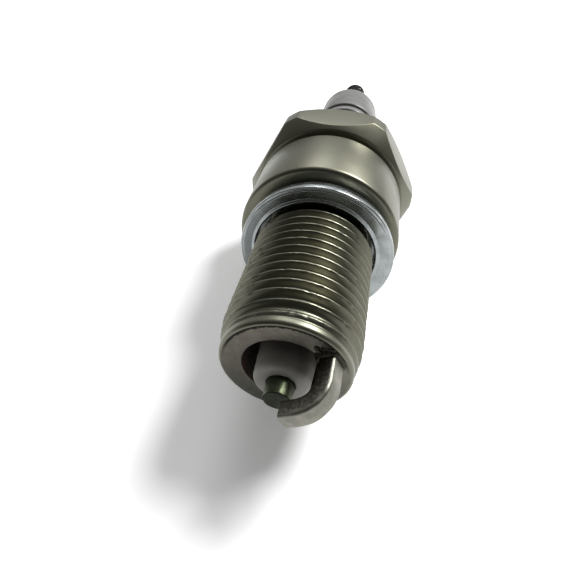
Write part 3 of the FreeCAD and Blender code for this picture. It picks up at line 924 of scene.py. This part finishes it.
def build_gasket(tones):
    """The folded washer: a flat front, a rolled rim and a rear leaf that holds it on the neck.

    It lies a little off centre and askew, as a loose washer does.
    """
    front, rear = GASKET_LOW.y, GASKET_HIGH.y
    outside = GASKET_HIGH.z - 0.03 * MM
    sheet, taper = 0.42 * MM, 0.25 * MM
    mouth, hole, hem = 7.13 * MM, 6.6 * MM, 0.9 * MM
    shift, lean = Vector((0.2, 0, -0.15)) * MM, Vector((0.02, 0, 0.012))

    def outline(angle):
        wave = 0.012 * MM * math.sin(2 * angle + 0.6) + 0.008 * MM * math.sin(5 * angle)
        face = front + 0.03 * MM + wave
        rim = outside - abs(wave)
        return softened([
            (hole, rear - 0.1 * MM, 0),
            (hole, rear, 0.05 * MM),
            (rim - taper, rear, 0.8 * MM),
            (rim - 0.03 * MM, face + 0.75 * MM, 0.3 * MM),
            (rim, face + 0.1 * MM, 0.38 * MM),
            (rim - 0.34 * MM, face + 0.12 * MM, 0.08 * MM),
            (rim - 0.44 * MM, face + 0.02 * MM, 0.12 * MM),
            (mouth + 0.55 * MM, face + 0.13 * MM, 0.15 * MM),
            (mouth + 0.22 * MM, face - 0.02 * MM, 0.18 * MM),
            (mouth, face + 0.06 * MM, 0.10 * MM),
            (mouth, rear - hem, 0.1 * MM),
            (mouth + sheet, rear - hem, 0.1 * MM),
            (mouth + sheet, face + sheet, 0.1 * MM),
            (rim - sheet, face + sheet, 0.3 * MM),
            (rim - taper - sheet, rear - sheet, 0.35 * MM),
            (hole, rear - sheet, 0.1 * MM),
        ])

    bm = bmesh.new()
    lathe(bm, outline, 192, closed=True)
    for vert in bm.verts:
        radius = math.hypot(vert.co.x, vert.co.z)
        share = min(1.0, max(0.0, (radius - mouth) / (outside - mouth)))
        vert.co.y += vert.co.x * lean.x + vert.co.z * lean.z
        vert.co += shift * share
    tidy_mesh(bm)
    piece = new_piece("crush_gasket_body", bm, (bright_zinc(tones),), sharp=50)
    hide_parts("crush_gasket")
    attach(piece, "gasket")


def insulator_outline(sizes):
    tip, top = INSULATOR_LOW.y, INSULATOR_HIGH.y
    corners = [
        (WIRE_RADIUS, tip + 0.2 * MM, 0),
        (1.42 * MM, tip, 0.05 * MM),
        (sizes.nose_radius, tip, 0.75 * MM),
        (sizes.nose_root_radius, NOSE_ROOT, 0),
        (sizes.step_radius, STEP_REAR, 0.1 * MM),
        (sizes.step_radius, SHOULDER_CONE, 0.4 * MM),
        (sizes.shoulder_radius, SHOULDER_FRONT, 0.4 * MM),
        (sizes.shoulder_radius, SHOULDER_REAR, 0.3 * MM),
        (sizes.barrel_radius, BARREL_FRONT, 0.3 * MM),
    ]
    groove_floor = sizes.barrel_radius - sizes.rib_depth
    for groove in range(sizes.rib_count):
        begin = FIRST_GROOVE + groove * sizes.rib_pitch
        end = begin + GROOVE_WIDTH
        corners += [
            (sizes.barrel_radius, begin, 0.3 * MM),
            (groove_floor, begin + GROOVE_SLOPE, 0.3 * MM),
            (groove_floor, end - GROOVE_SLOPE, 0.3 * MM),
            (sizes.barrel_radius, end, 0.3 * MM),
        ]
    land = top - sizes.land_length
    corners += [
        (sizes.barrel_radius, land - 0.4 * MM, 0.3 * MM),
        (LAND_RADIUS, land, 0.3 * MM),
        (LAND_RADIUS, top, 0.8 * MM),
        (STUD_HOLE_RADIUS, top, 0.1 * MM),
        (STUD_HOLE_RADIUS, STUD_HOLE_FRONT, 0),
        (WIRE_RADIUS, WIRE_HOLE_REAR, 0),
        (WIRE_RADIUS, tip + 0.3 * MM, 0),
    ]
    return softened(corners)


def build_insulator(sizes, tones):
    points = insulator_outline(sizes)
    bm = bmesh.new()
    for made in lathe(bm, lambda angle: points, 144, closed=True):
        if made.calc_center_median().y > 0:
            made.material_index = 1
    tidy_mesh(bm)
    piece = new_piece("insulator_body", bm, (bare_alumina(tones), glaze_grime_and_painted_shade(tones)))
    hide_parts("insulator")
    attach(piece, "plug")


def build_centre_electrode(tones):
    """Sheath with a slightly worn firing edge; its copper stays inside."""
    firing, head = ELECTRODE_LOW.y, ELECTRODE_HIGH.y
    points = softened([
        (0, firing, 0),
        (0.6 * MM, firing, 0),
        (WIRE_RADIUS, firing, 0.10 * MM),
        (WIRE_RADIUS, WIRE_HOLE_REAR, 0),
        (1.85 * MM, -2.44 * MM, 0),
        (1.85 * MM, head, 0.2 * MM),
        (0, head, 0),
    ])
    bm = bmesh.new()
    lathe(bm, lambda angle: points, 96)
    tidy_mesh(bm)
    bmesh.ops.subdivide_edges(
        bm,
        edges=[e for e in bm.edges if e.calc_length() > 3 * MM],
        cuts=12,
        use_grid_fill=True,
    )
    ruffle(bm, 0.7 * MM, 0.025 * MM, lambda co: 1.0 if co.y < END_FACE else 0.0)
    alloy = used_alloy("fired_nickel", tones.electrode, tones.soot, 1.0, 0.35, 0.36)
    # Painted shade: the forward-facing firing face gets a copy of the alloy at 0.3 of its tone
    tip_painted_shade = used_alloy("electrode_face_painted_shade", tuple(0.3 * c for c in tones.electrode), tones.soot, 0.9, 0.6, 0.5)
    for face in bm.faces:
        if face.calc_center_median().y < firing + 0.06 * MM:
            face.material_index = 1
    piece = new_piece("centre_electrode_body", bm, (alloy, tip_painted_shade))
    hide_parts("centre_electrode")
    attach(piece, "plug")


def strap_route(sizes, bridge):
    """Stations along the strap: radius from the axis, axial place, and the outward slope."""
    foot = END_FACE + 0.1 * MM
    bend = sizes.bend_radius
    centre_radius, centre_along = sizes.leg_radius - bend, bridge + bend
    stations = []
    leg_steps, bend_steps, bridge_steps = 12, 20, 12
    for step in range(leg_steps):
        share = step / leg_steps
        stations.append((sizes.leg_radius, foot + (centre_along - foot) * share, 0.0))
    for step in range(bend_steps + 1):
        slope = math.pi / 2 * step / bend_steps
        radius = centre_radius + bend * math.cos(slope)
        stations.append((radius, centre_along - bend * math.sin(slope), slope))
    for step in range(1, bridge_steps + 1):
        share = step / bridge_steps
        radius = centre_radius + (sizes.tip_radius - centre_radius) * share
        stations.append((radius, bridge, math.pi / 2))
    return stations


def strap_section(sizes, shrink):
    """Points round the strap's section: across its width, then out through its thickness."""
    half_width = sizes.width / 2 - shrink
    half_thick = sizes.thickness / 2 - shrink
    edge = max(sizes.edge - shrink, 0.05 * MM)
    steps = 6
    points = []
    for quarter, (side, out) in enumerate(((1, 1), (-1, 1), (-1, -1), (1, -1))):
        for step in range(steps + 1):
            turn = math.pi / 2 * (quarter + step / steps)
            across = side * (half_width - edge) + edge * math.cos(turn)
            outward = out * (half_thick - edge) + edge * math.sin(turn)
            points.append((across, outward))
    return points


def strap_axes(sizes):
    """Directions of the strap: away from the axis, and across its width."""
    outward = around(sizes.clock_angle, 1.0, 0.0)
    across = around(sizes.clock_angle + math.pi / 2, 1.0, 0.0)
    return outward, across


def build_ground_electrode(sizes, tones):
    bridge = STRAP_LOW.y + sizes.thickness / 2
    outward, across = strap_axes(sizes)
    stations = strap_route(sizes, bridge)
    last_radius, last_along, last_slope = stations.pop()
    shrinks = [0.0] * len(stations)
    for setback, shrink in ((0.05, 0.0), (0.015, 0.015), (0.0, 0.05)):
        stations.append((last_radius + setback * MM, last_along, last_slope))
        shrinks.append(shrink * MM)
    bm = bmesh.new()
    loops = []
    for (radius, along, slope), shrink in zip(stations, shrinks):
        middle = outward * radius + Vector((0, along, 0))
        normal = outward * math.cos(slope) - Vector((0, math.sin(slope), 0))
        loops.append([
            bm.verts.new(middle + across * a + normal * n)
            for a, n in strap_section(sizes, shrink)
        ])
    for line, following in zip(loops, loops[1:]):
        for index in range(len(line)):
            after = (index + 1) % len(line)
            bm.faces.new((line[index], line[after], following[after], following[index]))
    bm.faces.new(loops[0])
    bm.faces.new(loops[-1])
    tidy_mesh(bm)
    ruffle(bm, 0.9 * MM, 0.03 * MM)
    piece = new_piece("ground_electrode_strap", bm, (strap_alloy(tones, outward),), sharp=50)
    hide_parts("ground_electrode")
    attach(piece, "plug")


def build_weld(sizes, tones):
    """The upset bead round the strap's foot, with a little spatter beside it."""
    outward, across = strap_axes(sizes)
    foot = outward * sizes.leg_radius + Vector((0, END_FACE, 0))
    scale = used_alloy("weld_scale", tones.strap_painted_shade_and_weld_tone, tones.rust, 0.9, 0.9, 0.34)
    outline = strap_section(sizes, -0.02 * MM)
    bead, sides = 0.34 * MM, 12
    bm = bmesh.new()
    loops = []
    for index, (a, n) in enumerate(outline):
        before, after = outline[index - 1], outline[(index + 1) % len(outline)]
        tangent = Vector((after[0] - before[0], after[1] - before[1])).normalized()
        away = across * tangent.y - outward * tangent.x
        spot = foot + across * a + outward * n
        wobble = 1 + 0.45 * noise.noise(spot / (0.5 * MM))
        turns = [TURN * side / sides for side in range(sides)]
        loops.append([
            bm.verts.new(
                spot
                + away * bead * wobble * math.cos(turn)
                + Vector((0, bead * 0.8 * wobble * math.sin(turn), 0))
            )
            for turn in turns
        ])
    for index, line in enumerate(loops):
        following = loops[(index + 1) % len(loops)]
        for side in range(sides):
            up = (side + 1) % sides
            bm.faces.new((line[side], line[up], following[up], following[side]))
    tidy_mesh(bm)
    corner = across * -1.35 * MM + foot
    beads = made_by_nodes("weld_spatter", shared_tree("Weld spatter", spatter_tree), {
        "Count": 34,
        "Seed": 4,
        "Bead": 0.2 * MM,
        "Low": corner + Vector((-0.75, -0.05, -0.55)) * MM,
        "High": corner + Vector((0.75, 0.05, 0.55)) * MM,
        "Material": scale,
    })
    bm.from_mesh(beads)
    piece = new_piece("ground_electrode_weld", bm, (scale,), sharp=80)
    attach(piece, "plug")


def build_stud(tones):
    """Terminal: M4 thread above its collar, plain stem below, all one turned piece."""
    top, stem = STUD_HIGH.y, STUD_LOW.y
    collar_low = INSULATOR_HIGH.y
    collar_top = collar_low + COLLAR_HEIGHT
    root = STUD_RADIUS - 0.4 * MM
    tip = STUD_RADIUS - 0.55 * MM
    columns = 96
    metal = used_alloy("stud_plate", tones.stud, tones.nickel_shade, 1.0, 0.15, 0.36)
    plain = used_alloy("stud_collar", tones.stud, tones.nickel_shade, 1.0, 0.12, 0.32)
    skin = made_by_nodes("stud_thread", shared_tree("Screw thread", screw_thread_tree), {
        "Radius": STUD_RADIUS,
        "Depth": 0.43 * MM,
        "Pitch": 0.7 * MM,
        "Start": collar_top,
        "End": top,
        "Start radius": root,
        "Start pilot radius": root,
        "Start pilot length": 0.5 * MM,
        "End radius": tip,
        "End pilot radius": root + 0.1 * MM,
        "End pilot length": 0.25 * MM,
        "Crest phase": 0.2,
        "Nick depth": 0.03 * MM,
        "Start taper length": 1 * MM,
        "Columns": columns,
        "Rows per turn": 14,
        "Material": metal,
    })
    bm = bmesh.new()
    bm.from_mesh(skin)
    cap = [Vector((0, top)), Vector((tip * 0.5, top)), Vector((tip, top))]
    below = softened([
        (root, collar_top, 0),
        (COLLAR_RADIUS, collar_top, 0.2 * MM),
        (COLLAR_RADIUS, collar_low, 0.1 * MM),
        (NECK_RADIUS, collar_low, 0),
        (NECK_RADIUS, stem + STEM_LENGTH + 0.4 * MM, 0),
        (STEM_RADIUS, stem + STEM_LENGTH, 0),
        (STEM_RADIUS, stem, 0.2 * MM),
        (0, stem, 0),
    ])
    for points in (cap, below):
        for made in lathe(bm, lambda angle: points, columns):
            made.material_index = 1
    tidy_mesh(bm)
    piece = new_piece("terminal_stud_body", bm, (metal, plain))
    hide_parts("terminal_stud")
    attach(piece, "plug")


def dress_inner_pieces():
    """Finishes for the solids that stay inside the shell and the insulator."""
    looks = {
        "copper_core": ((0.62, 0.28, 0.17), 1.0, 0.35, 0.1),
        "lower_glass_seal": ((0.20, 0.11, 0.08), 0.2, 0.5, 0.4),
        "suppressor": ((0.03, 0.03, 0.03), 0.0, 0.7, 0.4),
        "upper_glass_seal": ((0.20, 0.11, 0.08), 0.2, 0.5, 0.4),
        "seat_washer": ((0.36, 0.36, 0.35), 1.0, 0.4, 0.2),
        "lower_packing_ring": ((0.36, 0.36, 0.35), 1.0, 0.4, 0.2),
        "talc_fill": ((0.72, 0.71, 0.68), 0.0, 0.95, 0.5),
        "upper_packing_ring": ((0.36, 0.36, 0.35), 1.0, 0.4, 0.2),
    }
    for node_name, (tone, metallic, roughness, grain) in looks.items():
        slots = frame["nodes"][node_name].data.materials
        look = plain_inner(node_name + "_finish", tone, metallic, roughness, grain)
        if not slots:
            slots.append(look)
        for index in range(len(slots)):
            slots[index] = look


# --------------------------------------------------------------------- stage

CAMERA_AZIMUTH = math.radians(11.26)
CAMERA_ELEVATION = math.radians(43.54)
CAMERA_DISTANCE = 47.36 * MM
CAMERA_AIM = Vector((-1.46, -9.85, 0.30)) * MM
CAMERA_LENS = 27.49
CAMERA_SHIFT = (-0.0075, 0.0095)

TABLE_HALF_SIZE = 3.0
TABLE_GLOW = 0.16
LIGHTS = (
    # name, direction, distance, size, power
    ("softbox", (0.62, 0.62, 1.0), 0.6, 0.22, 5.0),
    ("overhead", (-0.15, 0.75, 0.8), 0.8, 0.35, 1.4),
)
# The world's strength in front of the plug, behind it, gained overhead, and seen directly
WORLD_DIM, WORLD_BRIGHT, WORLD_GAIN, WORLD_BACKDROP = 0.04, 0.60, 0.04, 0.95


def build_camera():
    camera = bpy.data.objects.new("camera", bpy.data.cameras.new("camera"))
    bpy.context.scene.collection.objects.link(camera)
    level = math.cos(CAMERA_ELEVATION)
    back = Vector((
        math.sin(CAMERA_AZIMUTH) * level,
        -math.cos(CAMERA_AZIMUTH) * level,
        math.sin(CAMERA_ELEVATION),
    ))
    camera.location = CAMERA_AIM + back * CAMERA_DISTANCE
    camera.rotation_euler = back.to_track_quat("Z", "Y").to_euler()
    camera.data.lens = CAMERA_LENS
    camera.data.shift_x, camera.data.shift_y = CAMERA_SHIFT
    camera.data.clip_start = 0.001
    camera.data.clip_end = 20
    bpy.context.scene.camera = camera


def build_floor():
    """A plain pale table that the hexagon's lowest flat rests on."""
    bm = bmesh.new()
    bmesh.ops.create_grid(bm, x_segments=4, y_segments=4, size=TABLE_HALF_SIZE)
    for vert in bm.verts:
        vert.co.z = CAD_BOX[0].z
    material, _, shader = new_material("pale_table", 0.0, 0.6)
    shader.inputs["Base Color"].default_value = (0.93, 0.93, 0.93, 1.0)
    shader.inputs["Emission Color"].default_value = (1.0, 1.0, 1.0, 1.0)
    shader.inputs["Emission Strength"].default_value = TABLE_GLOW
    floor = new_piece("table", bm, (material,))


def area_light(name, direction, distance, size, power):
    light = bpy.data.lights.new(name, "AREA")
    light.shape = "DISK"
    light.size = size
    light.energy = power
    holder = bpy.data.objects.new(name, light)
    bpy.context.scene.collection.objects.link(holder)
    towards = Vector(direction).normalized()
    holder.location = towards * distance
    holder.rotation_euler = towards.to_track_quat("Z", "Y").to_euler()


def build_world():
    """Bright behind the plug, dim in front of it, and plain where the camera sees it."""
    world = bpy.data.worlds.new("studio")
    bpy.context.scene.world = world
    world.use_nodes = True
    tree = world.node_tree
    tree.nodes.clear()
    apart = put(tree, "ShaderNodeSeparateXYZ")
    feed(tree, apart.inputs[0], put(tree, "ShaderNodeTexCoord").outputs["Generated"])
    height = ramp(tree, apart.outputs[2], -0.1, 0.75)
    behind = ramp(tree, apart.outputs[1], -0.35, 0.75)
    lit = mix_number(tree, behind, WORLD_DIM, WORLD_BRIGHT)
    lit = mix_number(tree, height, lit, add(tree, lit, WORLD_GAIN))
    seen = put(tree, "ShaderNodeLightPath").outputs["Is Camera Ray"]
    strength = mix_number(tree, seen, lit, WORLD_BACKDROP)
    background = put(tree, "ShaderNodeBackground")
    background.inputs["Color"].default_value = (1.0, 1.0, 1.0, 1.0)
    feed(tree, background.inputs["Strength"], strength)
    output = put(tree, "ShaderNodeOutputWorld")
    tree.links.new(background.outputs[0], output.inputs[0])


def build_stage():
    build_camera()
    build_floor()
    build_world()
    for light in LIGHTS:
        area_light(*light)
    bpy.context.scene.view_settings.view_transform = "Standard"


# ----------------------------------------------------------------- operators

def settings():
    return bpy.context.scene.spark_plug


class SparkPlugSettings(PropertyGroup):
    shell: PointerProperty(type=ShellSizes)
    insulator: PointerProperty(type=InsulatorSizes)
    strap: PointerProperty(type=StrapSizes)
    finish: PointerProperty(type=FinishColours)


class SPARKPLUG_OT_stage(Operator):
    """Make the camera, the pale table and the studio light"""

    bl_idname = "sparkplug.stage"
    bl_label = "Stage"

    def execute(self, context):
        build_stage()
        return {"FINISHED"}


class SPARKPLUG_OT_shell(Operator):
    """Make the steel shell with its thread, boss, hexagon and rolled collar"""

    bl_idname = "sparkplug.shell"
    bl_label = "Metal shell"

    def execute(self, context):
        build_shell(settings().shell, settings().finish)
        return {"FINISHED"}


class SPARKPLUG_OT_gasket(Operator):
    """Make the folded gasket that slides on the neck behind the thread"""

    bl_idname = "sparkplug.gasket"
    bl_label = "Crush gasket"

    def execute(self, context):
        build_gasket(settings().finish)
        return {"FINISHED"}


class SPARKPLUG_OT_insulator(Operator):
    """Make the ceramic insulator"""

    bl_idname = "sparkplug.insulator"
    bl_label = "Insulator"

    def execute(self, context):
        build_insulator(settings().insulator, settings().finish)
        return {"FINISHED"}


class SPARKPLUG_OT_electrodes(Operator):
    """Make the centre electrode, the ground strap and its weld"""

    bl_idname = "sparkplug.electrodes"
    bl_label = "Electrodes"

    def execute(self, context):
        build_centre_electrode(settings().finish)
        build_ground_electrode(settings().strap, settings().finish)
        build_weld(settings().strap, settings().finish)
        return {"FINISHED"}


class SPARKPLUG_OT_terminal(Operator):
    """Make the terminal stud"""

    bl_idname = "sparkplug.terminal"
    bl_label = "Terminal stud"

    def execute(self, context):
        build_stud(settings().finish)
        return {"FINISHED"}


class SPARKPLUG_OT_inner(Operator):
    """Give the solids that stay inside their finishes"""

    bl_idname = "sparkplug.inner"
    bl_label = "Inner pieces"

    def execute(self, context):
        dress_inner_pieces()
        return {"FINISHED"}


OPERATORS = (
    SPARKPLUG_OT_stage,
    SPARKPLUG_OT_shell,
    SPARKPLUG_OT_gasket,
    SPARKPLUG_OT_insulator,
    SPARKPLUG_OT_electrodes,
    SPARKPLUG_OT_terminal,
    SPARKPLUG_OT_inner,
)


class SPARKPLUG_PT_panel(Panel):
    """Lists the pieces in the order they are made"""

    bl_label = "Spark plug"
    bl_space_type = "VIEW_3D"
    bl_region_type = "UI"
    bl_category = "Spark plug"

    def draw(self, context):
        for operator in OPERATORS:
            self.layout.operator(operator.bl_idname)


CLASSES = (
    ShellSizes, InsulatorSizes, StrapSizes, FinishColours, SparkPlugSettings,
    *OPERATORS, SPARKPLUG_PT_panel,
)


def register():
    for one in CLASSES:
        bpy.utils.register_class(one)
    bpy.types.Scene.spark_plug = PointerProperty(type=SparkPlugSettings)


def unregister():
    del bpy.types.Scene.spark_plug
    for one in reversed(CLASSES):
        bpy.utils.unregister_class(one)


def main():
    register()
    bpy.ops.sparkplug.stage()
    bpy.ops.sparkplug.shell()
    bpy.ops.sparkplug.gasket()
    bpy.ops.sparkplug.insulator()
    bpy.ops.sparkplug.electrodes()
    bpy.ops.sparkplug.terminal()
    bpy.ops.sparkplug.inner()


if __name__ == "__main__":
    main()
